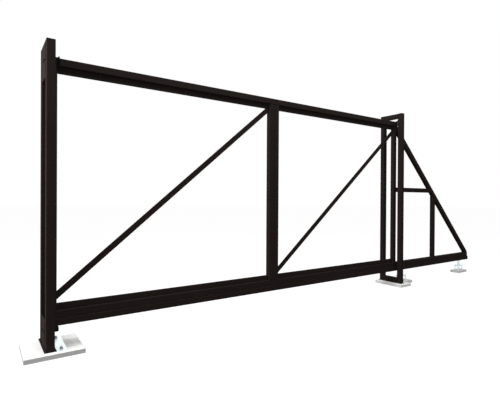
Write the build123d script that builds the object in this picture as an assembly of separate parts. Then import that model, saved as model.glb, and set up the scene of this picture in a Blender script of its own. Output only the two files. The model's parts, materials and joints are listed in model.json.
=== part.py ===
from build123d import *
import math
import os

# Cantilever sliding driveway gate, closed: a steel leaf with its counterbalance tail,
# hung over two roller carriages, between a receiving portal and a guide portal.
# X runs along the drive line (the leaf opens towards +X), -Y faces the street, Z is up.
# The origin is on the ground, under the centre of the guide portal, in the leaf's mid-plane.
# All sizes are millimetres.

# Main sizes of the gate
OPENING = 4120.0          # clear drive between the two portals
LEAF_HEIGHT = 2000.0      # running rail's underside to the top chord's top
TAIL_LENGTH = 1872.0      # leaf behind the rear stile
REAR_SETBACK = 18.0       # leaf's rear end inside the guide portal's outer face
MID_SHIFT = 14.0          # middle stiles' joint behind the middle of the leaf
RAIL_Z = 188.0            # running rail's underside over the ground

# Steel tubes of the leaf
TUBE = 60.0               # square tube of chords and stiles
TUBE_WALL = 3.0
BAND_HEIGHT = 50.0        # inner band beside each chord
BAND_DEPTH = 20.0
BAND_WALL = 2.0
BRACE = (50.0, 4.0)       # flat bar of the bay braces
BRACE_SETBACK = 3.0       # brace behind the bands' front face
FRONT_BRACE = (58.0, -3.0)  # its centre line over the lower band, under the upper band
REAR_BRACE = (33.0, 22.0)
TAIL_DEPTH = 50.0         # rear stile and tail tubes across the leaf
TAIL_POST_X = 914.0       # tail post's centre behind the leaf's rear end
TAIL_BRACE_DROP = 35.0    # tail brace's upper edge under the leaf's top
TAIL_BRACE_TOE = 23.0     # that edge over the tail chord, at the chord's end
TAIL_RAIL_Z = 1090.0      # tail rail's centre over the running rail's underside

# Running rail, a C section with its slot downwards
RAIL_WIDTH = 71.0
RAIL_HEIGHT = 55.0
RAIL_WALL = 3.5
RAIL_SLOT = 28.0
RAIL_CORNER = 6.0
RAIL_OVERHANG = 12.0      # rail past the tail chord's end
END_CAP = 3.0             # pressed cap in an open tube end
CAP_FIT = 0.2

# Portals
POST = 60.0               # square tube of the uprights
POST_WALL = 3.0
PORTAL_DEPTH = 330.0      # outside to outside, across the drive line
PORTAL_FRONT = -130.0     # portal's street face, from the leaf's mid-plane
PORTAL_OVER = 98.0        # top of the uprights over the leaf's top
FOOT_PLATE = 6.0
FOOT_LIP = 10.0           # foot plate past the uprights, all round
PANEL_THICK = 5.0         # folded plates that tie the receiving portal's uprights
TOP_PANEL = 264.0
LOW_PANEL = 210.0

# Slabs that carry the portals and the tail carriage
SLAB = 400.0
SLAB_THICK = 35.0
SLAB_CHAMFER = 3.0
SLAB_Y = 17.0             # slab's centre behind the leaf's mid-plane
RECEIVER_SLAB_X = -142.0  # slab's near edge from the receiving portal's outer face
GUIDE_SLAB_X = -70.0      # slab's near edge from the guide portal's outer face
GUIDE_SLAB = 218.0        # guide portal's slab along the drive line
FRONT_PAD_END = 330.0     # end of its pad under the front carriage
TAIL_SLAB = (240.0, 130.0)

# Catchers that take the leading end of the closed leaf
CATCH_FLANGE = 4.0
CATCH_CHEEK = 4.0
CATCH_GAP = 6.0           # cheek to leaf, each side
CATCH_REACH = 38.0        # past the receiving portal's inner face
CATCH_FLARE = 9.0
STOP_GAP = 16.0           # leading end to the catcher flange
CATCH_TIP = (12.0, 10.0)  # lead-in tip on each upper cheek
CATCH_HEIGHT = 76.0       # upper catcher's cheeks, down from the leaf's top
SHELF = (80.0, 5.0)       # lower catcher: width and thickness of its folded shelf
SHELF_SKIRT = 26.0
SHELF_GAP = 5.5           # end roller over the shelf
STRAP = (70.0, 336.0, 5.0)
STRAP_BOLTS = 256.0
ANCHOR = 12.0             # stud diameter
ANCHOR_GAP = 1.0
NUT = 19.0                # across flats
NUT_HEIGHT = 10.0
STUD_TOP = 8.0            # stud over its nut
WASHER = (24.0, 2.5)

# Roller carriages
FRONT_CARRIAGE_X = 175.0  # front carriage's centre behind the guide portal's
TAIL_CARRIAGE_SET = 204.0  # tail carriage's centre before the tail's end
CARRIAGE_BASE = (150.0, 76.0, 8.0)
CARRIAGE_LIFT = 60.0      # base plate over the slab, on its setting nuts
CARRIAGE_SLOT = (26.0, 13.0)
CARRIAGE_BOLTS = (112.0, 48.0)
NECK_THICK = 12.0
NECK_WIDTH = 56.0
GUSSET = (8.0, 50.0, 26.0)
BOGIE_LENGTH = 226.0
BOGIE_HEIGHT = 26.0
WHEEL_WIDTH = 16.0
WHEEL_SPACING = 66.0
WHEELS = 4
WHEEL_CROWN = 1.5
AXLE = 12.0
RUN_GAP = 0.5             # wheel to the rail, above and below
BORE_GAP = 0.1
SIDE_PLAY = 2.0           # wheel to the bogie plate
WHEEL = RAIL_HEIGHT - 2 * RAIL_WALL - 2 * RUN_GAP

# Top guide on the guide portal: a roller on a vertical pin each side of the top chord
GUIDE_ROLLER = 32.0
GUIDE_ROLLER_HEIGHT = 48.0
GUIDE_GAP = 2.0           # roller to top chord
GUIDE_SETBACK = 4.0       # bracket behind the roller's tread
GUIDE_PLATE = (56.0, 6.0)
GUIDE_PIN = 12.0
GUIDE_EAR = 22.0          # bracket's upstand against the upright

# End roller in the rail's leading end
END_WHEEL = 50.0
END_WHEEL_WIDTH = 22.0
END_WHEEL_DROP = 3.0      # wheel below the rail's underside
END_WHEEL_SET = 4.0       # wheel behind the rail's leading end
FORK_LENGTH = 60.0
FORK_WEB = (5.0, 3.0)     # fork behind the wheel, and over it

# Levels over the running rail's underside
CHORD_Z = RAIL_HEIGHT
LOW_BAND_Z = CHORD_Z + TUBE
BAY_Z = LOW_BAND_Z + BAND_HEIGHT
TOP_CHORD_Z = LEAF_HEIGHT - TUBE
BAY_TOP_Z = TOP_CHORD_Z - BAND_HEIGHT

# Stations along the drive line
GUIDE_LEFT = -POST / 2
GUIDE_RIGHT = POST / 2
RECEIVER_RIGHT = GUIDE_LEFT - OPENING
RECEIVER_LEFT = RECEIVER_RIGHT - POST
LEAF_LEFT = RECEIVER_LEFT + PANEL_THICK + CATCH_FLANGE + STOP_GAP
LEAF_REAR = GUIDE_RIGHT - REAR_SETBACK
TAIL_END = LEAF_REAR + TAIL_LENGTH
MID_X = (LEAF_LEFT + LEAF_REAR) / 2 + MID_SHIFT
TAIL_CARRIAGE_X = TAIL_END - TAIL_CARRIAGE_SET
PORTAL_TOP = RAIL_Z + LEAF_HEIGHT + PORTAL_OVER
PORTAL_REAR = PORTAL_FRONT + PORTAL_DEPTH
PARTS = "parts"


def save(shape, name):
    """Write one sub-part, in the gate's frame, under its node name."""
    shape = Compound(children=list(shape)) if isinstance(shape, list) else shape
    export_step(shape, os.path.join(PARTS, name + ".step"))


def box_between(low, high):
    """Plain block from its low corner to its high corner."""
    size = [h - l for l, h in zip(low, high)]
    return Pos(*low) * Box(*size, align=(Align.MIN, Align.MIN, Align.MIN))


def tube_profile(width, height, wall):
    """Cold-formed hollow section: outer corners of two walls, inner corners of one."""
    outer = RectangleRounded(width, height, 2 * wall)
    inner = RectangleRounded(width - 2 * wall, height - 2 * wall, wall)
    return outer - inner


def tube_along_x(x0, x1, z0, depth=TUBE, height=TUBE, wall=TUBE_WALL):
    """Level tube centred on the leaf's mid-plane, its underside at z0."""
    plane = Plane(origin=(x0, 0, z0 + height / 2), x_dir=(0, 1, 0), z_dir=(1, 0, 0))
    return extrude(plane * tube_profile(depth, height, wall), x1 - x0)


def upright_tube(x0, z0, z1, y=0.0, width=TUBE, depth=TUBE, wall=TUBE_WALL):
    """Standing tube whose near face is at x0."""
    plane = Plane(origin=(x0 + width / 2, y, z0), z_dir=(0, 0, 1))
    return extrude(plane * tube_profile(width, depth, wall), z1 - z0)


def sloping_tube(start, end, size, depth, wall, spare):
    """Tube in the leaf's mid-plane from start to end, with spare length for cutting."""
    dx, dz = end[0] - start[0], end[1] - start[1]
    length = math.hypot(dx, dz)
    ux, uz = dx / length, dz / length
    origin = (start[0] - ux * spare, 0, start[1] - uz * spare)
    plane = Plane(origin=origin, x_dir=(0, 1, 0), z_dir=(ux, 0, uz))
    return extrude(plane * tube_profile(depth, size, wall), length + 2 * spare)


def stile_lefts():
    """Near face of each stile: leading, the two that back each other, rear."""
    return {
        "leading_stile": LEAF_LEFT,
        "mid_stile_front": MID_X - TUBE,
        "mid_stile_rear": MID_X,
        "rear_stile": LEAF_REAR - TUBE,
    }


def bays():
    """Low and high X of the two bays between stiles."""
    lefts = stile_lefts()
    return [
        (lefts["leading_stile"] + TUBE, lefts["mid_stile_front"]),
        (lefts["mid_stile_rear"] + TUBE, lefts["rear_stile"]),
    ]


def lift(shape):
    """Raise a leaf piece from the rail's own level to its place over the ground."""
    return Pos(0, 0, RAIL_Z) * shape


def make_chords():
    top = tube_along_x(LEAF_LEFT, LEAF_REAR, TOP_CHORD_Z)
    low = tube_along_x(LEAF_LEFT, TAIL_END, CHORD_Z)
    save(lift(top), "top_chord")
    save(lift(low), "bottom_chord")


def make_stiles():
    for name, left in stile_lefts().items():
        depth = TAIL_DEPTH if name == "rear_stile" else TUBE
        save(lift(upright_tube(left, LOW_BAND_Z, TOP_CHORD_Z, depth=depth)), name)


def make_bands():
    for name, z0 in (("upper_bands", BAY_TOP_Z), ("lower_bands", LOW_BAND_Z)):
        bands = [
            lift(tube_along_x(x0, x1, z0, BAND_DEPTH, BAND_HEIGHT, BAND_WALL))
            for x0, x1 in bays()
        ]
        save(bands, name)


def make_bay_braces():
    """Flat bar corner to corner in each bay, let in behind the bands' front face."""
    width, thick = BRACE
    near = BRACE_SETBACK - BAND_DEPTH / 2
    lines = (("front_bay_brace", FRONT_BRACE), ("rear_bay_brace", REAR_BRACE))
    for (name, (rise, drop)), (x0, x1) in zip(lines, bays()):
        start = (x0, BAY_Z + rise)
        end = (x1, BAY_TOP_Z - drop)
        length = math.hypot(end[0] - start[0], end[1] - start[1])
        slope = math.degrees(math.atan2(end[1] - start[1], end[0] - start[0]))
        bar = Rot(0, -slope, 0) * Box(length + 4 * width, thick, width)
        bar = Pos((start[0] + end[0]) / 2, near + thick / 2, (start[1] + end[1]) / 2) * bar
        limits = box_between((x0, -TUBE, BAY_Z), (x1, TUBE, BAY_TOP_Z))
        save(lift(bar & limits), name)


def tail_brace_line():
    """Ends of the tail brace's upper edge, which falls to the tail chord's end."""
    top = LEAF_HEIGHT - TAIL_BRACE_DROP
    slope = -(top - LOW_BAND_Z - TAIL_BRACE_TOE) / TAIL_LENGTH
    return (LEAF_REAR, top), (TAIL_END, LOW_BAND_Z + TAIL_BRACE_TOE), slope


def make_tail():
    """Brace, post and rail of the counterbalance triangle behind the rear stile."""
    (x0, z0), (x1, z1), slope = tail_brace_line()
    rise = TUBE / math.cos(math.atan(slope))
    start = (x0, z0 - rise / 2)
    end = (x1, z1 - rise / 2)
    brace = sloping_tube(start, end, TUBE, TAIL_DEPTH, TUBE_WALL, 2 * TUBE)
    limits = box_between((x0, -TUBE, LOW_BAND_Z), (x1, TUBE, LEAF_HEIGHT))
    save(lift(brace & limits), "tail_brace")

    under = Polygon(
        (x0, z0 - rise), (x1, z1 - rise), (x1, -TUBE), (x0, -TUBE), align=None
    )
    below_brace = extrude(Plane.XZ * under, TUBE, both=True)
    post_x = LEAF_REAR + TAIL_POST_X - TUBE / 2
    post = upright_tube(post_x, LOW_BAND_Z, LEAF_HEIGHT, depth=TAIL_DEPTH)
    save(lift(post & below_brace), "tail_post")
    rail = tube_along_x(LEAF_REAR, post_x, TAIL_RAIL_Z - TUBE / 2, depth=TAIL_DEPTH)
    save(lift(rail & below_brace), "tail_rail")


def rail_profile():
    """C section with rounded upper corners and a slot between two running lips."""
    outer = Pos(0, RAIL_HEIGHT / 2) * RectangleRounded(RAIL_WIDTH, RAIL_HEIGHT, RAIL_CORNER)
    inner = Pos(0, RAIL_HEIGHT / 2) * RectangleRounded(
        RAIL_WIDTH - 2 * RAIL_WALL, RAIL_HEIGHT - 2 * RAIL_WALL, RAIL_CORNER - RAIL_WALL
    )
    slot = Rectangle(RAIL_SLOT, 4 * RAIL_WALL)
    return outer - inner - slot


def make_rail():
    plane = Plane(origin=(LEAF_LEFT, 0, 0), x_dir=(0, 1, 0), z_dir=(1, 0, 0))
    rail = extrude(plane * rail_profile(), TAIL_END + RAIL_OVERHANG - LEAF_LEFT)
    save(lift(rail), "running_rail")


def cap_for_tube(x, z0, inward):
    """Pressed cap, sunk in a tube's open end; inward is the direction into the tube."""
    size = TUBE - 2 * TUBE_WALL - 2 * CAP_FIT
    plane = Plane(origin=(x, 0, z0 + TUBE / 2), x_dir=(0, 1, 0), z_dir=(inward, 0, 0))
    return extrude(plane * RectangleRounded(size, size, TUBE_WALL - CAP_FIT), END_CAP)


def make_end_caps():
    caps = [
        cap_for_tube(LEAF_LEFT, TOP_CHORD_Z, 1),
        cap_for_tube(LEAF_REAR, TOP_CHORD_Z, -1),
        cap_for_tube(LEAF_LEFT, CHORD_Z, 1),
        cap_for_tube(TAIL_END, CHORD_Z, -1),
    ]
    save([lift(cap) for cap in caps], "tube_end_caps")


def wheel(diameter, width, bore, crown=WHEEL_CROWN):
    """Wheel about the Y axis, with a rounded tread and a plain bore."""
    body = Cylinder(diameter / 2, width)
    body = fillet(body.edges().filter_by(GeomType.CIRCLE), crown)
    return Rot(90, 0, 0) * (body - Cylinder(bore / 2, width))


def make_end_roller():
    """Wheel and fork in the rail's leading end, ready to ride up on the lower catcher."""
    inside = RAIL_WIDTH - 2 * RAIL_WALL
    centre_x = LEAF_LEFT + END_WHEEL / 2 + END_WHEEL_SET
    centre_z = END_WHEEL / 2 - END_WHEEL_DROP
    block = box_between(
        (LEAF_LEFT, -inside / 2, RAIL_WALL),
        (LEAF_LEFT + FORK_LENGTH, inside / 2, RAIL_HEIGHT - RAIL_WALL),
    )
    block = chamfer(block.edges().filter_by(Axis.X), RAIL_CORNER - RAIL_WALL)
    slot_half = END_WHEEL_WIDTH / 2 + SIDE_PLAY / 2
    slot = box_between(
        (LEAF_LEFT, -slot_half, 0),
        (LEAF_LEFT + FORK_LENGTH - FORK_WEB[0], slot_half, RAIL_HEIGHT - RAIL_WALL - FORK_WEB[1]),
    )
    axle = Pos(centre_x, 0, centre_z) * Rot(90, 0, 0) * Cylinder(AXLE / 2, inside)
    save(lift(block - slot + axle), "end_roller_fork")
    roller = wheel(END_WHEEL, END_WHEEL_WIDTH, AXLE + 2 * BORE_GAP)
    save(lift(Pos(centre_x, 0, centre_z) * roller), "end_roller")


def slab_block(x0, x1, y_mid, depth):
    """Cast slab, thick from the ground up."""
    return box_between((x0, y_mid - depth / 2, 0), (x1, y_mid + depth / 2, SLAB_THICK))


def make_slabs():
    """A slab for each portal and the tail carriage, with a chamfered upper edge."""
    receiver = RECEIVER_LEFT + RECEIVER_SLAB_X
    guide = GUIDE_LEFT + GUIDE_SLAB_X
    tail = TAIL_CARRIAGE_X - TAIL_SLAB[0] / 2
    pad = slab_block(guide, FRONT_PAD_END, 0.0, TAIL_SLAB[1])
    slabs = {
        "receiver_slab": slab_block(receiver, receiver + SLAB, SLAB_Y, SLAB),
        "guide_slab": slab_block(guide, guide + GUIDE_SLAB, SLAB_Y, SLAB) + pad,
        "tail_slab": slab_block(tail, tail + TAIL_SLAB[0], 0.0, TAIL_SLAB[1]),
    }
    for name, slab in slabs.items():
        save(chamfer(slab.faces().sort_by(Axis.Z)[-1].edges(), SLAB_CHAMFER), name)


def make_portal(prefix, left):
    """Two capped uprights on one foot plate."""
    low = SLAB_THICK + FOOT_PLATE
    plate = box_between(
        (left - FOOT_LIP, PORTAL_FRONT - FOOT_LIP, SLAB_THICK),
        (left + POST + FOOT_LIP, PORTAL_REAR + FOOT_LIP, low),
    )
    save(plate, prefix + "_foot_plate")
    caps = []
    size = POST - 2 * POST_WALL - 2 * CAP_FIT
    for side, y in (("front", PORTAL_FRONT + POST / 2), ("rear", PORTAL_REAR - POST / 2)):
        upright = upright_tube(left, low, PORTAL_TOP, y, POST, POST, POST_WALL)
        save(upright, "%s_%s_upright" % (prefix, side))
        plane = Plane(origin=(left + POST / 2, y, PORTAL_TOP - END_CAP))
        caps.append(extrude(plane * RectangleRounded(size, size, POST_WALL - CAP_FIT), END_CAP))
    save(caps, prefix + "_post_caps")


def make_guide_bars():
    """Head bar and foot bar between the guide portal's uprights."""
    span = PORTAL_DEPTH - 2 * POST
    for name, z in (("foot", SLAB_THICK + FOOT_PLATE), ("head", PORTAL_TOP - POST)):
        plane = Plane(origin=(0, PORTAL_FRONT + POST, z + POST / 2), z_dir=(0, 1, 0))
        bar = extrude(plane * tube_profile(POST, POST, POST_WALL), span)
        save(bar, "guide_%s_bar" % name)


def make_receiver_panels():
    """Folded plates that tie the receiving portal's uprights, top and bottom."""
    near, far = PORTAL_FRONT + POST, PORTAL_REAR - POST
    foot = SLAB_THICK + FOOT_PLATE
    panels = (
        ("top", PORTAL_TOP - TOP_PANEL, PORTAL_TOP, PORTAL_TOP - PANEL_THICK),
        ("low", foot, foot + LOW_PANEL, foot),
    )
    for name, z0, z1, fold in panels:
        face = box_between((RECEIVER_LEFT, near, z0), (RECEIVER_LEFT + PANEL_THICK, far, z1))
        flange = box_between((RECEIVER_LEFT, near, fold), (RECEIVER_RIGHT, far, fold + PANEL_THICK))
        save(face + flange, "receiver_%s_panel" % name)


def cheek(side, half_gap, z0, z1):
    """One catcher cheek, bent outwards at its mouth, with a tip that leads the chord in."""
    x0 = RECEIVER_LEFT + PANEL_THICK + CATCH_FLANGE
    x1 = RECEIVER_RIGHT + CATCH_REACH
    bend = x1 - 2 * CATCH_FLARE
    near, far = half_gap, half_gap + CATCH_CHEEK
    outline = Polygon(
        (x0, near), (bend, near), (x1, near + CATCH_FLARE),
        (x1, far + CATCH_FLARE), (bend, far), (x0, far),
        align=None,
    )
    piece = extrude(Plane(origin=(0, 0, z0)) * outline, z1 - z0)
    tip = Polygon(
        (x1 - CATCH_TIP[0], z1), (x1, z1), (x1 - CATCH_TIP[0] / 2, z1 + CATCH_TIP[1]), align=None
    )
    lead = Pos(0, far + CATCH_FLARE, 0) * extrude(Plane.XZ * tip, far + CATCH_FLARE)
    column = extrude(Plane(origin=(0, 0, z0)) * outline, z1 - z0 + CATCH_TIP[1])
    piece += lead & column
    return piece if side > 0 else mirror(piece, about=Plane.XZ)


def make_catchers():
    """Forked catcher for the top chord and a folded shelf under the end roller."""
    x0 = RECEIVER_LEFT + PANEL_THICK
    half = TUBE / 2 + CATCH_GAP
    z0, z1 = LEAF_HEIGHT - CATCH_HEIGHT, LEAF_HEIGHT
    outer = half + CATCH_CHEEK
    upper = box_between((x0, -outer, z0), (x0 + CATCH_FLANGE, outer, z1))
    upper += cheek(1, half, z0, z1) + cheek(-1, half, z0, z1)
    save(lift(upper), "upper_catcher")

    width, thick = SHELF
    top = -END_WHEEL_DROP - SHELF_GAP
    low = top - thick - SHELF_SKIRT
    end = RECEIVER_RIGHT + CATCH_REACH
    shelf = box_between((x0, -width / 2, low), (end, width / 2, top))
    nose = shelf.edges().filter_by(Axis.Y).group_by(Axis.X)[-1].sort_by(Axis.Z)
    shelf = fillet(nose[0], CATCH_FLARE)
    shelf -= box_between(
        (x0 + thick, thick - width / 2, low - 1), (end - thick, width / 2 - thick, top - thick)
    )
    save(lift(shelf), "lower_catcher")


def anchor_stud(x, y, base, grip):
    """Threaded stud out of the slab, with a washer and nut over what it grips."""
    stand = (Align.CENTER, Align.CENTER, Align.MIN)
    height = grip + WASHER[1] + NUT_HEIGHT + STUD_TOP
    stud = Pos(x, y, base) * Cylinder(ANCHOR / 2, height, align=stand)
    washer = Pos(x, y, base + grip) * Cylinder(WASHER[0] / 2, WASHER[1], align=stand)
    hexagon = RegularPolygon(NUT / 2, 6, major_radius=False)
    nut = extrude(Plane(origin=(x, y, base + grip + WASHER[1])) * hexagon, NUT_HEIGHT)
    return stud + washer + nut


def make_strap():
    """Galvanised strap along the foot of the receiving portal, with its two anchors."""
    width, length, thick = STRAP
    x0 = RECEIVER_RIGHT + FOOT_LIP
    y0 = SLAB_Y - length / 2
    strap = box_between((x0, y0, SLAB_THICK), (x0 + width, y0 + length, SLAB_THICK + thick))
    x, studs = x0 + width / 2, []
    for y in (SLAB_Y - STRAP_BOLTS / 2, SLAB_Y + STRAP_BOLTS / 2):
        strap -= Pos(x, y, SLAB_THICK) * Cylinder(ANCHOR / 2 + ANCHOR_GAP, 4 * thick)
        studs.append(anchor_stud(x, y, SLAB_THICK, thick))
    save(strap, "receiver_strap")
    save(studs, "receiver_strap_studs")


def carriage_base(x):
    """Slotted base plate on four setting studs."""
    length, width, thick = CARRIAGE_BASE
    low = SLAB_THICK + CARRIAGE_LIFT
    plate = box_between((x - length / 2, -width / 2, low), (x + length / 2, width / 2, low + thick))
    for sx in (-1, 1):
        for sy in (-1, 1):
            slot = SlotOverall(*CARRIAGE_SLOT)
            place = Plane(
                origin=(x + sx * CARRIAGE_BOLTS[0] / 2, sy * CARRIAGE_BOLTS[1] / 2, low)
            )
            plate -= extrude(place * slot, thick)
    return plate


def setting_studs(x):
    """Studs that stand on the slab, each with a nut under and a nut over the base plate."""
    low = SLAB_THICK + CARRIAGE_LIFT
    top = low + CARRIAGE_BASE[2]
    studs = []
    for sx in (-1, 1):
        for sy in (-1, 1):
            px, py = x + sx * CARRIAGE_BOLTS[0] / 2, sy * CARRIAGE_BOLTS[1] / 2
            stud = Pos(px, py, SLAB_THICK) * Cylinder(
                ANCHOR / 2,
                top - SLAB_THICK + NUT_HEIGHT + STUD_TOP,
                align=(Align.CENTER, Align.CENTER, Align.MIN),
            )
            for z in (low - NUT_HEIGHT, top):
                hexagon = RegularPolygon(NUT / 2, 6, major_radius=False)
                stud += extrude(Plane(origin=(px, py, z)) * hexagon, NUT_HEIGHT)
            studs.append(stud)
    return studs


def wheel_level():
    """Height of the carriage wheels' centres over the ground."""
    return RAIL_Z + RAIL_HEIGHT / 2


def bogie(x):
    """Neck plate through the rail's slot, a beam inside the rail and its axles."""
    low = SLAB_THICK + CARRIAGE_LIFT + CARRIAGE_BASE[2]
    centre = wheel_level()
    half = NECK_THICK / 2
    body = box_between((x - NECK_WIDTH / 2, -half, low), (x + NECK_WIDTH / 2, half, centre))
    body += box_between(
        (x - BOGIE_LENGTH / 2, -half, centre - BOGIE_HEIGHT / 2),
        (x + BOGIE_LENGTH / 2, half, centre + BOGIE_HEIGHT / 2),
    )
    thick, spread, rise = GUSSET
    outline = Polygon(
        (-spread / 2, low), (spread / 2, low), (half, low + rise), (-half, low + rise), align=None
    )
    plane = Plane(origin=(x - thick / 2, 0, 0), x_dir=(0, 1, 0), z_dir=(1, 0, 0))
    body += extrude(plane * outline, thick)
    span = NECK_THICK + 2 * (SIDE_PLAY + WHEEL_WIDTH)
    for station in wheel_stations(x):
        body += Pos(station, 0, centre) * Rot(90, 0, 0) * Cylinder(AXLE / 2, span)
    return body


def wheel_stations(x):
    """X of each wheel pair, evenly spaced about the carriage's centre."""
    first = x - WHEEL_SPACING * (WHEELS - 1) / 2
    return [first + i * WHEEL_SPACING for i in range(WHEELS)]


def carriage_wheels(x):
    offset = NECK_THICK / 2 + SIDE_PLAY + WHEEL_WIDTH / 2
    one = wheel(WHEEL, WHEEL_WIDTH, AXLE + 2 * BORE_GAP)
    return [
        Pos(station, side * offset, wheel_level()) * one
        for station in wheel_stations(x)
        for side in (-1, 1)
    ]


def make_carriages():
    for name, x in (("front_carriage", FRONT_CARRIAGE_X), ("tail_carriage", TAIL_CARRIAGE_X)):
        save(carriage_base(x), name + "_base")
        save(setting_studs(x), name + "_studs")
        save(bogie(x), name + "_bogie")
        save(carriage_wheels(x), name + "_wheels")


def make_top_guides():
    """Bracket on each upright's inner face, with a roller that steadies the top chord."""
    face = TUBE / 2 + GUIDE_GAP
    centre_y = face + GUIDE_ROLLER / 2
    roller_z = RAIL_Z + TOP_CHORD_Z + TUBE / 2
    plate_z = roller_z + GUIDE_ROLLER_HEIGHT / 2 + GUIDE_GAP
    width, thick = GUIDE_PLATE
    near = face + GUIDE_SETBACK
    reaches = (("front", -1, -PORTAL_FRONT - POST), ("rear", 1, PORTAL_REAR - POST))
    for name, side, inner in reaches:
        roller = Cylinder(GUIDE_ROLLER / 2, GUIDE_ROLLER_HEIGHT)
        roller = fillet(roller.edges().filter_by(GeomType.CIRCLE), WHEEL_CROWN)
        roller -= Cylinder(GUIDE_PIN / 2 + BORE_GAP, GUIDE_ROLLER_HEIGHT)
        save(Pos(0, side * centre_y, roller_z) * roller, "top_guide_%s_roller" % name)
        tongue = box_between((-width / 2, near, plate_z), (width / 2, inner, plate_z + thick))
        ear = box_between(
            (-width / 2, inner - thick, plate_z), (width / 2, inner, plate_z + GUIDE_EAR)
        )
        pin = Pos(0, centre_y, plate_z) * Cylinder(
            GUIDE_PIN / 2,
            GUIDE_ROLLER_HEIGHT + 4 * GUIDE_GAP,
            align=(Align.CENTER, Align.CENTER, Align.MAX),
        )
        bracket = tongue + ear + pin
        if side < 0:
            bracket = mirror(bracket, about=Plane.XZ)
        save(bracket, "top_guide_%s_bracket" % name)


def main():
    os.makedirs(PARTS, exist_ok=True)
    make_chords()
    make_stiles()
    make_bands()
    make_bay_braces()
    make_tail()
    make_rail()
    make_end_caps()
    make_end_roller()
    make_slabs()
    make_portal("receiver", RECEIVER_LEFT)
    make_portal("guide", GUIDE_LEFT)
    make_receiver_panels()
    make_catchers()
    make_guide_bars()
    make_strap()
    make_carriages()
    make_top_guides()


main()
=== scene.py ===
# %% [markdown]
# # A cantilever sliding driveway gate
# The gate is a braced frame of square steel tube, powder coated dark brown.
# It hangs over two roller carriages and shuts into two catchers on a portal post.
# Every tube, plate, roller and slab is a solid of the CAD frame that is loaded first.
# This script adds what a fabricator adds last: weld beads, bolts, threads and finishes.

import json
import math

import bpy
import numpy as np
from mathutils import Matrix, Vector


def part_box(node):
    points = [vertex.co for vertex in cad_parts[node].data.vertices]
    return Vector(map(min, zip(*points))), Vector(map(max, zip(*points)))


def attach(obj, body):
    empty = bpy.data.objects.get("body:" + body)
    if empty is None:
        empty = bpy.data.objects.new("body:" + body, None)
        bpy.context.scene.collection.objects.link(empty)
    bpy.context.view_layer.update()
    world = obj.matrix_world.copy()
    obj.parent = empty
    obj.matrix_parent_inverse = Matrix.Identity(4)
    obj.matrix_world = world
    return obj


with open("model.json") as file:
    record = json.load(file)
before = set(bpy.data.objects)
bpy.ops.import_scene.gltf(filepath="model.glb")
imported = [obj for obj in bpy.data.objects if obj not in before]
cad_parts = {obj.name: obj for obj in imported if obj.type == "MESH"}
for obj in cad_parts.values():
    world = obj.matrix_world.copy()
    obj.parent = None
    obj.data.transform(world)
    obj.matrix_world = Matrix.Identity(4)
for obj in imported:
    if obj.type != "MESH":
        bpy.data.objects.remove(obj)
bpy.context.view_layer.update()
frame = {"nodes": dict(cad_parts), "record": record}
MM = 0.001  # metres in a millimetre; every length below is in metres
SLOTS = {row["node"]: row["material_slot"] for row in frame["record"]["subparts"]}

# %% [markdown]
# ## Colours
# A colour picked from a screen is an sRGB hex value, but a shader works in linear light.
# One function turns every hex value to linear, so the swatches below can be read as colours.

# %% Turn a hex colour to linear light
def linear(hex_colour):
    """Each channel c: c / 12.92 below 0.04045, else ((c + 0.055) / 1.055) to the power 2.4."""
    srgb = np.array([int(hex_colour[i:i + 2], 16) for i in (0, 2, 4)]) / 255.0
    low, high = srgb / 12.92, ((srgb + 0.055) / 1.055) ** 2.4
    return (*np.where(srgb <= 0.04045, low, high).tolist(), 1.0)


BROWN_DARK, BROWN_LIGHT = "221c1a", "28211f"
print("powder coat in linear light:", linear(BROWN_DARK), linear(BROWN_LIGHT))

# %% [markdown]
# ## Finishes
# A shader is a small network of nodes. One function adds a node, sets its values and links
# its inputs, so that each finish below reads as a short list of what the surface does.
# Patterns read Object coordinates in metres, so their scales come from real millimetres.

# %% Add a shader node
def add(tree, kind, values=None, links=None, **settings):
    """Adds one node to a tree; values sets sockets, links joins sockets of earlier nodes."""
    node = tree.nodes.new(kind)
    for name, value in settings.items():
        setattr(node, name, value)
    for name, value in (values or {}).items():
        node.inputs[name].default_value = value
    for name, source in (links or {}).items():
        tree.links.new(source, node.inputs[name])
    return node


def start_finish(name):
    """A new material, its emptied tree, and the place on the object in metres."""
    material = bpy.data.materials.new(name)
    material.use_nodes = True
    tree = material.node_tree
    tree.nodes.clear()
    place = add(tree, "ShaderNodeTexCoord").outputs["Object"]
    return material, tree, place


def per_mm(size_mm):
    """A texture scale that gives one pattern cell for each size_mm millimetres."""
    return 1.0 / (size_mm * MM)


def end_finish(material, tree, shader):
    """Links the last shader to the output and gives the finished material back."""
    add(tree, "ShaderNodeOutputMaterial", links={"Surface": shader.outputs[0]})
    return material


# %% [markdown]
# ## Powder coat
# Polyester powder is sprayed on dry and baked. It flows out to a closed skin with a faint
# orange peel, a ripple some millimetres across and a few hundredths deep. The photographed
# gate shows next to no shine, so the coat is set duller than the usual satin one.
# Noise through a Bump node gives that ripple without moving the mesh, and a slow second
# noise lets the brown drift a little, as a coat does over six metres of tube.

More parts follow.
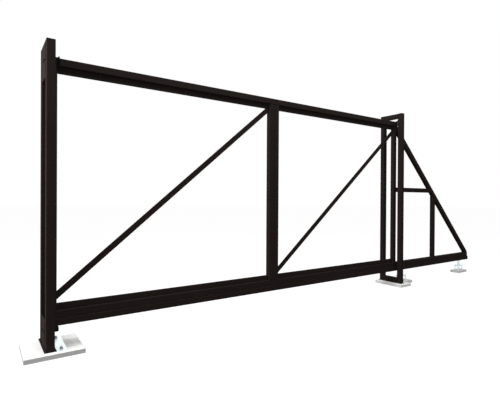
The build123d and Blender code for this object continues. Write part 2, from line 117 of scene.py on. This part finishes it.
# %% Make the two powder coats
def powder_coat(name, dark, light, roughness, specular):
    """The coat drifts between dark and light over 400 mm and ripples every 5 mm."""
    material, tree, place = start_finish(name)
    drift = add(
        tree, "ShaderNodeTexNoise", {"Scale": per_mm(400), "Detail": 2.0}, {"Vector": place}
    )
    colour = add(
        tree, "ShaderNodeMix", {"A": linear(dark), "B": linear(light)},
        {"Factor": drift.outputs["Fac"]}, data_type="RGBA",
    )
    peel = add(tree, "ShaderNodeTexNoise", {"Scale": per_mm(5), "Detail": 1.0}, {"Vector": place})
    bump = add(
        tree, "ShaderNodeBump", {"Strength": 0.12, "Distance": 0.2 * MM},
        {"Height": peel.outputs["Fac"]},
    )
    shader = add(
        tree, "ShaderNodeBsdfPrincipled",
        {"Roughness": roughness, "Specular IOR Level": specular},
        {"Base Color": colour.outputs["Result"], "Normal": bump.outputs["Normal"]},
    )
    return end_finish(material, tree, shader)


BROWN = powder_coat("powder coat, dark brown", BROWN_DARK, BROWN_LIGHT, 0.90, 0.03)
BLACK = powder_coat("powder coat, black", "0b0c0d", "101112", 0.65, 0.06)
print("coats:", BROWN.name, "and", BLACK.name)

# %% [markdown]
# ## Hot-dip galvanising
# Zinc freezes on the steel in flat crystals, the spangle, each 5 to 15 mm across and
# tilted its own way. A Voronoi texture has the same flat cells, so its cell colour sets
# how rough and how bright each crystal is.

# %% Make the galvanised finish
def galvanising():
    """One crystal per Voronoi cell: its first channel is its brightness, its second its
    roughness."""
    material, tree, place = start_finish("hot-dip galvanised steel")
    spangle = add(tree, "ShaderNodeTexVoronoi", {"Scale": per_mm(9)}, {"Vector": place})
    cell = add(tree, "ShaderNodeSeparateColor", links={"Color": spangle.outputs["Color"]})
    colour = add(
        tree, "ShaderNodeMix", {"A": linear("d3e4e8"), "B": linear("ecf6f8")},
        {"Factor": cell.outputs[0]}, data_type="RGBA",
    )
    rough = add(
        tree, "ShaderNodeMapRange", {"To Min": 0.38, "To Max": 0.55}, {"Value": cell.outputs[1]}
    )
    shader = add(
        tree, "ShaderNodeBsdfPrincipled", {"Metallic": 0.85},
        {"Base Color": colour.outputs["Result"], "Roughness": rough.outputs["Result"]},
    )
    return end_finish(material, tree, shader)


ZINC = galvanising()
print("made:", ZINC.name)

# %% [markdown]
# ## Zinc plating
# The anchors at the near foot and the top guide's bolts are plated in a bath, which leaves
# a thin even skin without crystals. Its grey is set darker than dipped zinc as painted shade
# for the shadowed nuts. A fine noise in the roughness is the handling it has had. The
# carriages' studs are dipped with the carriages.

# %% Make the plated finish
def plating():
    """An even grey metal whose roughness wanders over 6 mm."""
    material, tree, place = start_finish("zinc-plated steel, darker as painted shade")
    handled = add(
        tree, "ShaderNodeTexNoise", {"Scale": per_mm(6), "Detail": 3.0}, {"Vector": place}
    )
    rough = add(
        tree, "ShaderNodeMapRange", {"To Min": 0.3, "To Max": 0.5},
        {"Value": handled.outputs["Fac"]},
    )
    # The grey is darker than the zinc's own, as painted shade for the anchors' nuts.
    shader = add(
        tree, "ShaderNodeBsdfPrincipled", {"Base Color": linear("8f9597"), "Metallic": 0.9},
        {"Roughness": rough.outputs["Result"]},
    )
    return end_finish(material, tree, shader)


PLATED_IN_PAINTED_SHADE = plating()
print("made:", PLATED_IN_PAINTED_SHADE.name)

# %% [markdown]
# ## Concrete
# The slabs are cast with a trowelled face, pale cement paste with fine sand in it. A noise
# of hand size clouds the grey, and one of sand size roughens the surface through a Bump.
# The near slab's sides are darker than its trowelled face as painted shade, so the mix
# follows how far a face looks up. The two slabs past the opening have paler sides as
# painted light.

# %% Make the concrete
def concrete(name, sides, faces):
    """sides and faces each give a darker and a paler cement grey for the clouds; the sides are
    darker as painted shade, and the mix goes from sides to faces with the Z of the face's
    normal, 0 upright and 1 level."""
    material, tree, place = start_finish(name)
    cloud = add(tree, "ShaderNodeTexNoise", {"Scale": per_mm(60), "Detail": 4.0}, {"Vector": place})
    sand = add(tree, "ShaderNodeTexNoise", {"Scale": per_mm(4), "Detail": 3.0}, {"Vector": place})
    # The sides' greys are darker than the faces' as painted shade on the upright faces.
    side = add(
        tree, "ShaderNodeMix", {"A": linear(sides[0]), "B": linear(sides[1])},
        {"Factor": cloud.outputs["Fac"]}, data_type="RGBA",
    )
    face = add(
        tree, "ShaderNodeMix", {"A": linear(faces[0]), "B": linear(faces[1])},
        {"Factor": cloud.outputs["Fac"]}, data_type="RGBA",
    )
    normal = add(tree, "ShaderNodeNewGeometry").outputs["True Normal"]
    level = add(tree, "ShaderNodeSeparateXYZ", links={"Vector": normal})
    colour = add(
        tree, "ShaderNodeMix", links={
            "Factor": level.outputs["Z"], "A": side.outputs["Result"], "B": face.outputs["Result"],
        }, data_type="RGBA",
    )
    bump = add(
        tree, "ShaderNodeBump", {"Strength": 0.35, "Distance": 0.6 * MM},
        {"Height": sand.outputs["Fac"]},
    )
    shader = add(
        tree, "ShaderNodeBsdfPrincipled", {"Roughness": 0.9, "Specular IOR Level": 0.2},
        {"Base Color": colour.outputs["Result"], "Normal": bump.outputs["Normal"]},
    )
    return end_finish(material, tree, shader)


TROWELLED = ("dededc", "ecece9")
# The near slab's sides get darker greys than its top: painted shade.
CONCRETE_SHADED_SIDES = concrete("cast concrete, sides in painted shade", ("c0c0be", "d0d0ce"), TROWELLED)
# The slabs past the opening get paler sides: painted light for lamp light that falls less there.
CONCRETE_LIT_SIDES = concrete("cast concrete, sides in painted light", ("e6e6e4", "f2f2f0"), TROWELLED)
print("made:", CONCRETE_SHADED_SIDES.name, "and", CONCRETE_LIT_SIDES.name)

# %% [markdown]
# ## Nylon and cap plastic
# The wheels are turned from cast nylon, off-white and slightly waxy, and the top guide's
# rollers from a dark nylon. The tube caps are moulded polyethylene in the coat's own brown,
# with a dull skin. All are plain dielectrics with a fine grain from the tool or the mould.

# %% Make the plastics
def plastic(name, colour, roughness, specular):
    """One even colour with a 2 mm grain in the bump."""
    material, tree, place = start_finish(name)
    grain = add(tree, "ShaderNodeTexNoise", {"Scale": per_mm(2)}, {"Vector": place})
    bump = add(
        tree, "ShaderNodeBump", {"Strength": 0.08, "Distance": 0.1 * MM},
        {"Height": grain.outputs["Fac"]},
    )
    shader = add(
        tree, "ShaderNodeBsdfPrincipled",
        {"Base Color": linear(colour), "Roughness": roughness, "Specular IOR Level": specular},
        {"Normal": bump.outputs["Normal"]},
    )
    return end_finish(material, tree, shader)


NYLON = plastic("cast nylon, turned", "d8d6cc", 0.42, 0.4)
DARK_NYLON = plastic("nylon, dark", "1f1c1a", 0.5, 0.2)
CAP = plastic("moulded polyethylene, brown", "1f1a18", 0.85, 0.06)
print("made:", NYLON.name, "and", DARK_NYLON.name, "and", CAP.name)

# %% [markdown]
# ## Finishes on the frame
# Each piece of the frame has a slot that names what it is made of, and a slot has one
# finish. Three pieces differ from their slot: the strap's anchors are plated and not dipped,
# in a grey darkened as painted shade, and the two slabs past the opening get the concrete
# with paler sides, as painted light.

# %% Put the finishes on the frame
FINISHES = {
    "brown_steel": BROWN, "black_steel": BLACK, "galvanised": ZINC,
    "concrete": CONCRETE_SHADED_SIDES, "nylon": NYLON, "dark_nylon": DARK_NYLON, "cap_plastic": CAP,
}

# The strap's anchors take the plated grey, darkened as painted shade, and the slabs past the
# opening take the concrete with paler sides, as painted light.
OWN_FINISH = {
    "receiver_strap_studs": PLATED_IN_PAINTED_SHADE, "guide_slab": CONCRETE_LIT_SIDES, "tail_slab": CONCRETE_LIT_SIDES,
}

for node, obj in frame["nodes"].items():
    obj.data.materials.clear()
    obj.data.materials.append(OWN_FINISH.get(node, FINISHES[SLOTS[node]]))
print("finishes:", sorted(FINISHES), "of their own:", sorted(OWN_FINISH))

# %% [markdown]
# ## From arrays to a mesh
# Each added piece is worked out as whole arrays of points and faces. Boxes of the frame's
# own nodes say where it goes, so nothing has to be measured twice. Beads, bolts and threads
# are all closed tubes, a row of rings with a face over each end, so they share their faces.

# %% Make an object from arrays
def tube_faces(rings, sides):
    """Quads between ring i and ring i + 1 of a tube, for each side j and its neighbour
    (j + 1) mod sides, then one face over the first ring and one over the last."""
    i, j = np.meshgrid(np.arange(rings - 1), np.arange(sides), indexing="ij")
    nxt = (j + 1) % sides
    quads = np.stack(
        [i * sides + j, i * sides + nxt, (i + 1) * sides + nxt, (i + 1) * sides + j], -1
    )
    first, last = np.arange(sides)[::-1], np.arange(sides) + (rings - 1) * sides
    return [*quads.reshape(-1, 4).tolist(), first.tolist(), last.tolist()]


def join(parts):
    """Stacks (points, faces) pairs, with each part's face numbers moved on by those before."""
    points, faces, offset = [], [], 0
    for part_points, part_faces in parts:
        points.append(part_points)
        faces += [[offset + index for index in face] for face in part_faces]
        offset += len(part_points)
    return np.concatenate(points), faces


def new_piece(name, parts, finish, body, smooth=True):
    """One object at the origin, with its place in its mesh, riding on a CAD body."""
    points, faces = join(parts)
    mesh = bpy.data.meshes.new(name)
    mesh.from_pydata(points.tolist(), [], faces)
    mesh.validate()
    mesh.update()
    mesh.polygons.foreach_set("use_smooth", [smooth] * len(mesh.polygons))
    mesh.materials.append(finish)
    piece = bpy.data.objects.new(name, mesh)
    bpy.context.scene.collection.objects.link(piece)
    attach(piece, body)
    print(f"{name}: {len(parts)} parts, {len(points)} points, on {body}")


def low_high(node):
    """The lowest and the highest corner of a node's box, as two arrays."""
    low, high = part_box(node)
    return np.array(low), np.array(high)


print("top chord:", low_high("top_chord"))

# %% [markdown]
# ## Weld beads
# The frame is put together with short fillet welds where one tube butts another. A bead is
# about 5 mm across, half round, with a ripple for each time the torch moved on.
# A circle carried along the line where the two meet gives it, and half of it lies in the
# steel. The radius swells and shrinks along the line, and tapers at both ends.

# %% Carry a circle along a line
BEAD = 2.6 * MM
RIPPLE = 5.0 * MM
RIPPLE_SHARE = 0.15
END_SHARE = 0.25
BEAD_SIDES = 7
LEAST_RINGS = 6


def bead(start, end, out):
    """Rings at start + s (end - start) for s from 0 to 1, each in the plane of out and of
    the line's side vector, with radius
    BEAD (1 + RIPPLE_SHARE sin(2 pi s L / RIPPLE)) min(1, d / BEAD + END_SHARE),
    where L is the line's length and d the distance to its nearer end."""
    start, end, out = (np.array(v, float) for v in (start, end, out))
    along = end - start
    length = np.linalg.norm(along)
    side = np.cross(along / length, out)
    count = max(int(length / RIPPLE * 2), LEAST_RINGS)
    s = np.linspace(0.0, 1.0, count)
    swell = BEAD * (1 + RIPPLE_SHARE * np.sin(2 * np.pi * s * length / RIPPLE))
    radius = swell * np.clip(np.minimum(s, 1 - s) * length / BEAD + END_SHARE, 0, 1)
    angle = np.linspace(0, 2 * np.pi, BEAD_SIDES, endpoint=False)
    ring = np.cos(angle)[:, None] * out + np.sin(angle)[:, None] * side
    points = (start + s[:, None] * along)[:, None, :] + radius[:, None, None] * ring[None]
    return points.reshape(-1, 3), tube_faces(count, BEAD_SIDES)


print("bead points for 60 mm:", len(bead((0, 0, 0), (60 * MM, 0, 0), (0, 0, 1))[0]))

# %% [markdown]
# ## Where the beads go
# A weld follows the line on which two pieces meet, so the beads are found from the CAD
# meshes: the points on a tube's end face give that face's corners, and a slanted cut is
# given by the two furthest points of the tube's flat side.
# Faces that are flush are ground level before coating, so only the inner corners keep a bead.

# %% Find an end face and a slanted cut
CORNER = 6.0 * MM  # a tube's rounded corner, which a bead leaves free
TOUCH = 0.2 * MM  # points this near to a plane count as on it


def points_of(node):
    """All points of a node's CAD mesh, one to a row."""
    mesh = frame["nodes"][node].data
    flat = np.empty(len(mesh.vertices) * 3)
    mesh.vertices.foreach_get("co", flat)
    return flat.reshape(-1, 3)


def flat_side(points, side):
    """The points on the street side's face (side -1) or the yard side's (side 1)."""
    face = (points[:, 1] * side).max() * side
    return points[np.abs(points[:, 1] - face) < TOUCH]


def end_face(node, axis, side):
    """Lowest and highest corners of the points on a node's outermost plane along axis."""
    points = points_of(node)
    edge = points[:, axis].max() if side > 0 else points[:, axis].min()
    points = points[np.abs(points[:, axis] - edge) < TOUCH]
    return points.min(0), points.max(0)


def seam(node, axis, side, across=(0, 1, 2), signs=(-1, 1)):
    """Beads on the edges of an end face, for each direction across that isn't the axis,
    on its low side, its high side or both."""
    low, high = end_face(node, axis, side)
    beads = []
    for out_axis in across:
        if out_axis == axis:
            continue
        along = 3 - axis - out_axis
        for sign in signs:
            start, end, out = low.copy(), low.copy(), np.zeros(3)
            start[out_axis] = end[out_axis] = high[out_axis] if sign > 0 else low[out_axis]
            start[along], end[along] = low[along] + CORNER, high[along] - CORNER
            out[out_axis] = sign
            if end[along] - start[along] > CORNER:
                beads.append(bead(start, end, out))
    return beads


def cut_seam(node, across, along):
    """Beads along a slanted cut: on the front and the back face, the line from the lowest
    to the highest place across the tube, each at its furthest point along it."""
    beads = []
    for side in (-1, 1):
        flat = flat_side(points_of(node), side)
        ends = []
        for edge in (flat[:, across].min(), flat[:, across].max()):
            row = flat[np.abs(flat[:, across] - edge) < TOUCH]
            ends.append(row[row[:, along].argmax()])
        beads.append(bead(ends[0], ends[1], (0, side, 0)))
    return beads


print("tail brace foot:", end_face("tail_brace", 2, -1))

# %% Weld the leaf's frame
welds = []
for stile in ("leading_stile", "mid_stile_front", "mid_stile_rear"):
    welds += seam(stile, 2, -1, (0,)) + seam(stile, 2, 1, (0,))
welds += seam("rear_stile", 2, -1) + seam("rear_stile", 2, 1)
welds += seam("tail_post", 2, -1) + cut_seam("tail_post", 0, 2)
welds += seam("tail_brace", 0, -1) + seam("tail_brace", 2, -1)
welds += seam("tail_rail", 0, -1) + cut_seam("tail_rail", 2, 0)
new_piece("stile_welds", welds, BROWN, "leaf")

# %% [markdown]
# ## Braces
# The flat bars across the bays are cut to lie in their corners and are welded where their
# cut ends meet a chord and a stile. A cut end lies on one of the outermost planes of the
# bar's flat face, so the points on those planes give the line of each bead.

# %% Weld the flat braces into the bays
def bar_seams(node):
    """Beads on both faces of a flat bar, on its two end planes and its two level planes."""
    beads = []
    for side in (-1, 1):
        flat = flat_side(points_of(node), side)
        for axis, along in ((0, 2), (2, 0)):
            for edge in (flat[:, axis].min(), flat[:, axis].max()):
                row = flat[np.abs(flat[:, axis] - edge) < TOUCH]
                start, end = row[row[:, along].argmin()], row[row[:, along].argmax()]
                if end[along] - start[along] > CORNER:
                    beads.append(bead(start, end, (0, side, 0)))
    return beads


welds = bar_seams("front_bay_brace") + bar_seams("rear_bay_brace")
new_piece("brace_welds", welds, BROWN, "leaf")

# %% [markdown]
# ## Stitch welds
# A long seam would bend the leaf as it cools, so the running rail and the inner bands are
# only stitched to their chords: short beads with a space several times their length.

# %% Stitch the rail and the bands to the chords
STITCH = 45.0 * MM
RAIL_PITCH = 300.0 * MM
BAND_PITCH = 400.0 * MM
OVER_RAIL = 1.5 * MM  # how far up the chord's side a rail stitch has its middle
SLANT = 0.7071  # each part of a direction halfway between level and upright


def stitches(x0, x1, y, z, out, pitch):
    """Beads of STITCH length along X, evenly spaced, with half a pitch left at each end."""
    count = max(int((x1 - x0) / pitch), 1)
    step = (x1 - x0) / count
    middles = x0 + step * (np.arange(count) + 0.5)
    return [bead((x - STITCH / 2, y, z), (x + STITCH / 2, y, z), out) for x in middles]


chord_low, chord_high = low_high("bottom_chord")
band_low, band_high = low_high("lower_bands")
rail_top = low_high("running_rail")[1][2]
top_chord_foot = low_high("top_chord")[0][2]
bays = (
    (low_high("leading_stile")[1][0], low_high("mid_stile_front")[0][0]),
    (low_high("mid_stile_rear")[1][0], low_high("rear_stile")[0][0]),
)
welds = []
for side, y in ((-1, chord_low[1]), (1, chord_high[1])):
    level, out = rail_top + OVER_RAIL, (0, side, 0)
    welds += stitches(chord_low[0], chord_high[0], y, level, out, RAIL_PITCH)
for x0, x1 in bays:
    for side, y in ((-1, band_low[1]), (1, band_high[1])):
        up, down = (0, side * SLANT, SLANT), (0, side * SLANT, -SLANT)
        welds += stitches(x0, x1, y, chord_high[2], up, BAND_PITCH)
        welds += stitches(x0, x1, y, top_chord_foot, down, BAND_PITCH)
new_piece("stitch_welds", welds, BROWN, "leaf")

# %% [markdown]
# ## Portals
# The uprights are welded round their feet to the foot plates, and the guide portal's bars
# on their inner corners. The receiving portal's closing plates lie against its uprights and
# are welded down both edges. The beads come from the same end faces and boxes.

# %% Weld the portals
welds = []
for portal in ("receiver", "guide"):
    for side in ("front", "rear"):
        welds += seam(f"{portal}_{side}_upright", 2, -1)
for bar, inner in (("guide_foot_bar", 1), ("guide_head_bar", -1)):
    welds += seam(bar, 1, -1, (2,), (inner,)) + seam(bar, 1, 1, (2,), (inner,))
for panel in ("receiver_top_panel", "receiver_low_panel"):
    low, high = low_high(panel)
    foot, head = low[2] + CORNER, high[2] - CORNER
    for y in (low[1], high[1]):
        welds.append(bead((low[0], y, foot), (low[0], y, head), (-1, 0, 0)))
new_piece("portal_welds", welds, BROWN, "posts")

# %% [markdown]
# ## Bolts
# A hexagon-head bolt is a six-sided prism with its top edge chamfered, over a round washer.
# Both are profiles carried round an axis, 24 points to a ring, with the radius following a
# hexagon for the head and a circle for the washer.

# %% Turn a profile into a bolt head
BOLT_SIDES = 24
M8_BOLT = (13.0 * MM, 5.5 * MM, 1.6 * MM)  # across flats, head, washer
M6_BOLT = (10.0 * MM, 4.0 * MM, 1.6 * MM)
WASHER_SHARE = 1.26
CHAMFER = 1.2 * MM
CHAMFER_SHARE = 0.92


def turned(place, axis, profile, hexagon):
    """Ring k at height h and radius r times g(angle): g is 1 for a circle, and
    1 / cos(angle mod 60 - 30) for a hexagon whose flats are r from the axis."""
    turn = np.array(Vector(axis).normalized().to_track_quat("Z", "Y").to_matrix())
    angle = np.linspace(0, 2 * np.pi, BOLT_SIDES, endpoint=False)
    flat = 1.0 / np.cos(np.mod(angle, np.pi / 3) - np.pi / 6)
    reach = flat if hexagon else np.ones(BOLT_SIDES)
    rings = []
    for height, radius in profile:
        ring = np.stack([np.cos(angle), np.sin(angle)], -1) * (radius * reach)[:, None]
        rings.append(np.column_stack([ring, np.full(BOLT_SIDES, height)]))
    points = np.concatenate(rings) @ turn.T + np.array(place, float)
    return points, tube_faces(len(profile), BOLT_SIDES)


def bolt(place, axis, size):
    """Washer, then the hexagon head, standing on the point place and facing along axis."""
    flats, head, washer = size
    half, top = flats / 2, washer + head
    round_profile = [(0, half * WASHER_SHARE), (washer, half * WASHER_SHARE)]
    head_profile = [(washer, half), (top - CHAMFER, half), (top, half * CHAMFER_SHARE)]
    return [turned(place, axis, round_profile, False), turned(place, axis, head_profile, True)]


print("bolt head points:", len(bolt((0, 0, 0), (0, 0, 1), M8_BOLT)[1][0]))

# %% [markdown]
# ## Catcher bolts
# Each catcher is bolted to the receiving portal's closing plate. The two heads are under
# the coat, and they sit at the catcher's own height, found from its box.

# %% Bolt the catchers to the receiving portal
CATCHER_BOLT_Y = 28.0 * MM

outer = low_high("receiver_top_panel")[0][0]
bolts = []
for catcher in ("upper_catcher", "lower_catcher"):
    low, high = low_high(catcher)
    for y in (-CATCHER_BOLT_Y, CATCHER_BOLT_Y):
        bolts += bolt((outer, y, (low[2] + high[2]) / 2), (-1, 0, 0), M8_BOLT)
new_piece("catcher_bolts", bolts, BROWN, "posts", smooth=False)

# %% [markdown]
# ## Top guide bolts
# Each bracket of the top guide is held to its upright by two plated bolts, one on each side
# of the roller's pin, near the top of the bracket's upright leg.

# %% Bolt the top guide brackets to the guide portal
LEG = 6.0 * MM  # thickness of the leg that lies against the upright
GUIDE_BOLT_X = 18.0 * MM
GUIDE_BOLT_DROP = 8.0 * MM

bolts = []
for side, sign in (("front", -1), ("rear", 1)):
    low, high = low_high(f"top_guide_{side}_bracket")
    face = low[1] + LEG if sign < 0 else high[1] - LEG
    for x in (-GUIDE_BOLT_X, GUIDE_BOLT_X):
        bolts += bolt((x, face, high[2] - GUIDE_BOLT_DROP), (0, -sign, 0), M6_BOLT)
new_piece("guide_bolts", bolts, PLATED_IN_PAINTED_SHADE, "posts", smooth=False)

# %% [markdown]
# ## Threads
# The anchors and setting studs are M12 rod, threaded over their whole length so that the
# carriages can be levelled on their nuts. The CAD studs are plain.
# A thread is a ridge carried round the rod as it climbs: one grid of angle against height,
# whose radius rises to the crest and falls again once in each pitch.

# %% Cut the threads
ROD = 6.0 * MM
CREST = 0.4 * MM
PITCH = 1.75 * MM
PITCH_ROWS = 4
ROD_SIDES = 16
NUT_FLATS = 19.0 * MM  # the CAD nuts and washers, which give the studs' boxes their size
NUT_CORNERS = NUT_FLATS / math.cos(math.pi / 6)
WASHER_SIZE = 24.0 * MM


def thread(x, y, z0, z1):
    """Radius at angle a and height z: rod + crest * cos(2 pi z / pitch - a), so the ridge
    climbs one pitch in each turn. A flat face closes each end."""
    rows = int((z1 - z0) / PITCH * PITCH_ROWS)
    z = np.linspace(z0, z1, rows)[:, None]
    angle = np.linspace(0, 2 * np.pi, ROD_SIDES, endpoint=False)[None, :]
    radius = ROD + CREST * np.cos(2 * np.pi * z / PITCH - angle)
    level = np.broadcast_to(z, radius.shape)
    points = np.stack([x + radius * np.cos(angle), y + radius * np.sin(angle), level], -1)
    return points.reshape(-1, 3), tube_faces(rows, ROD_SIDES)


threads = []
for carriage in ("front", "tail"):
    low, high = low_high(f"{carriage}_carriage_studs")
    for x in (low[0] + NUT_CORNERS / 2, high[0] - NUT_CORNERS / 2):
        for y in (low[1] + NUT_FLATS / 2, high[1] - NUT_FLATS / 2):
            threads.append(thread(x, y, low[2], high[2] - CREST))
new_piece("setting_threads", threads, ZINC, "posts")

low, high = low_high("receiver_strap_studs")
middle = (low[0] + high[0]) / 2
threads = [
    thread(middle, y, low[2], high[2] - CREST)
    for y in (low[1] + WASHER_SIZE / 2, high[1] - WASHER_SIZE / 2)
]
new_piece("anchor_threads", threads, PLATED_IN_PAINTED_SHADE, "posts")

# %% [markdown]
# ## Studio
# The photograph is a cut-out on white, so the floor and the world are white to the camera
# and to reflections, while every other ray meets a dim world that only fills the shadows.

# %% Tell the rays that show the background from those that light the gate
def shown_ray(tree):
    """1 for a camera, glossy or transmission ray, and 0 for every other ray."""
    rays = add(tree, "ShaderNodeLightPath").outputs
    shown = add(
        tree, "ShaderNodeMath",
        links={0: rays["Is Camera Ray"], 1: rays["Is Glossy Ray"]}, operation="MAXIMUM",
    )
    shown = add(
        tree, "ShaderNodeMath",
        links={0: shown.outputs[0], 1: rays["Is Transmission Ray"]}, operation="MAXIMUM",
    )
    return shown.outputs[0]


WHITE = linear("ffffff")
print("white:", WHITE)

# %% [markdown]
# ## Floor
# The floor is a grey paper sweep under the gate. It takes the gate's shadow and throws some
# light back up at it. To the camera it also glows nearly white, so that it meets the white
# world without a line, and only faint shadows are left at the slabs.

# %% Lay the floor
FLOOR_HALF = 60.0
FLOOR_GREY = "606060"
FLOOR_GLOW = 0.94


def floor_finish():
    """Dull grey to the rays that light the gate, and grey plus glow to those that show it."""
    material, tree, _ = start_finish("studio floor")
    shader = add(
        tree, "ShaderNodeBsdfPrincipled",
        {"Base Color": linear(FLOOR_GREY), "Roughness": 0.9, "Specular IOR Level": 0.0},
    )
    glow = add(tree, "ShaderNodeEmission", {"Color": WHITE, "Strength": FLOOR_GLOW})
    both = add(tree, "ShaderNodeAddShader", links={0: shader.outputs[0], 1: glow.outputs[0]})
    mix = add(
        tree, "ShaderNodeMixShader",
        links={0: shown_ray(tree), 1: shader.outputs[0], 2: both.outputs[0]},
    )
    return end_finish(material, tree, mix)


floor_mesh = bpy.data.meshes.new("floor")
corners = np.array([(-1, -1, 0), (1, -1, 0), (1, 1, 0), (-1, 1, 0)], float) * FLOOR_HALF
floor_mesh.from_pydata(corners.tolist(), [], [(0, 1, 2, 3)])
floor_mesh.materials.append(floor_finish())
floor = bpy.data.objects.new("floor", floor_mesh)
bpy.context.scene.collection.objects.link(floor)
print("floor:", 2 * FLOOR_HALF, "m square")

# %% [markdown]
# ## Light
# A long softbox hangs above each side of the leaf, so that the top chord is the palest, the
# light falls off down the stiles, and the ledges of the chord and the rail catch it. A weak
# one at eye height on each side opens the shade under the chords, and one past the
# receiving portal makes the faces towards -X the paler ones.

# %% Light the studio
WORLD_FILL = 0.39
WORLD_SHOWN = 1.0
# name, place, point it faces, width and height, all in metres, and watts
SOFTBOXES = (
    ("street side softbox", (-1.9, -0.85, 4.0), (-1.9, 0.0, 1.6), (8.4, 0.5), 114.0),
    ("street side fill", (-1.9, -6.0, 1.4), (-1.9, 0.0, 1.2), (8.4, 1.5), 75.0),
    ("yard side softbox", (-1.9, 0.85, 4.0), (-1.9, 0.0, 1.6), (8.4, 0.5), 80.0),
    ("yard side fill", (-1.9, 6.0, 1.4), (-1.9, 0.0, 1.2), (8.4, 1.5), 75.0),
    ("left softbox", (-7.2, -0.2, 3.2), (-4.2, 0.0, 2.0), (2.0, 2.0), 200.0),
)

world = bpy.data.worlds.new("studio")
world.use_nodes = True
bpy.context.scene.world = world
tree = world.node_tree
tree.nodes.clear()
soft = add(tree, "ShaderNodeBackground", {"Color": WHITE, "Strength": WORLD_FILL})
white = add(tree, "ShaderNodeBackground", {"Color": WHITE, "Strength": WORLD_SHOWN})
mix = add(
    tree, "ShaderNodeMixShader",
    links={0: shown_ray(tree), 1: soft.outputs[0], 2: white.outputs[0]},
)
add(tree, "ShaderNodeOutputWorld", links={"Surface": mix.outputs[0]})


def softbox(name, place, target, size, watts):
    """A soft lamp size[0] wide and size[1] high at place, turned to face target."""
    lamp = bpy.data.lights.new(name, "AREA")
    lamp.shape = "RECTANGLE"
    lamp.size, lamp.size_y = size
    lamp.energy = watts
    holder = bpy.data.objects.new(name, lamp)
    holder.location = place
    holder.rotation_euler = (Vector(target) - Vector(place)).to_track_quat("-Z", "Y").to_euler()
    bpy.context.scene.collection.objects.link(holder)
    print(f"{name}: {watts} W")


for row in SOFTBOXES:
    softbox(*row)

# %% [markdown]
# ## Camera
# The uprights stay parallel and the level edges run to two points outside the picture, so
# the lens was level, near breast height, on the street side beside the receiving portal.
# A fit of the gate's edges gives the place, the turn and the focal length in pixels. The fit
# counts pixels from their middles, so the picture is shifted by half a pixel.

# %% Set the camera
CAMERA_PLACE = (-4.595, -3.2533, 1.1470)
CAMERA_YAW = 34.577
CAMERA_PITCH = -0.274
CAMERA_ROLL = -0.314
FOCAL_PX = 391.70
FRAME_PX = 500.0
HALF_PIXEL = 0.5 / FRAME_PX
SENSOR_MM = 36.0
CLIP_END = 200.0

camera_data = bpy.data.cameras.new("camera")
camera_data.sensor_width = SENSOR_MM
camera_data.lens = FOCAL_PX * SENSOR_MM / FRAME_PX
camera_data.shift_x = -HALF_PIXEL
camera_data.shift_y = HALF_PIXEL
camera_data.clip_end = CLIP_END
camera = bpy.data.objects.new("camera", camera_data)
yaw, pitch, roll = (math.radians(v) for v in (CAMERA_YAW, CAMERA_PITCH, CAMERA_ROLL))
turn = Matrix.Rotation(-yaw, 4, "Z") @ Matrix.Rotation(math.pi / 2 + pitch, 4, "X")
turn = turn @ Matrix.Rotation(-roll, 4, "Z")
camera.matrix_world = Matrix.Translation(CAMERA_PLACE) @ turn
bpy.context.scene.collection.objects.link(camera)
bpy.context.scene.camera = camera
bpy.context.scene.view_settings.view_transform = "Standard"
print("lens:", camera_data.lens, "mm at", CAMERA_PLACE)
